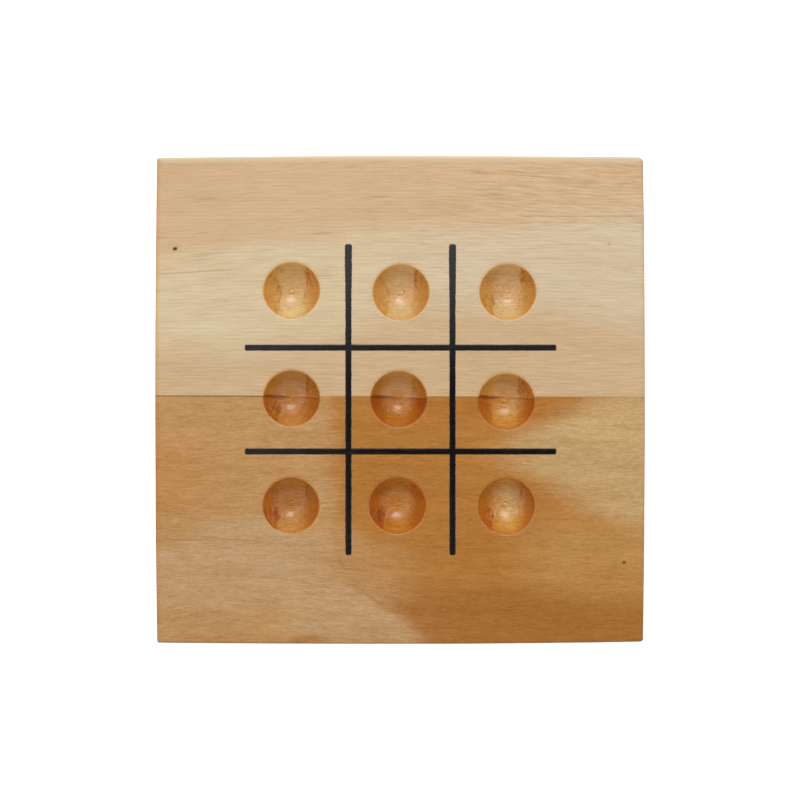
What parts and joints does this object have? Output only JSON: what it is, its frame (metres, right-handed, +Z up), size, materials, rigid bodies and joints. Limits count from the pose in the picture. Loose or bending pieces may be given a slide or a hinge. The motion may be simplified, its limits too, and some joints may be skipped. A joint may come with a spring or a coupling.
{
  "type": "tic tac toe board",
  "caption": "Square lacquered pine tic tac toe board, edge-glued from a pale and an amber plank, with a printed black grid and round hollows for marbles.",
  "frame": {"origin": "middle of the underside, on the surface that the board stands on", "axes": "+X along the grain to the right of the board as it is read, +Y across the planks towards the pale one, +Z up out of the playing face"},
  "size_m": [0.1526, 0.152, 0.0192],
  "materials": {
    "pale_pine": "satin clear lacquer over sanded pale pine, straight fine grain along X",
    "amber_pine": "satin clear lacquer over sanded amber pine, with darker resin-stained zones",
    "dried_glue": "thin brown line of dried wood glue",
    "black_ink": "satin black printing ink that follows the wood grain"
  },
  "bodies": {
    "root": {"upper_plank": "pale_pine", "lower_plank": "amber_pine", "glue_line": "dried_glue", "printed_grid": "black_ink"}
  },
  "joints": []
}
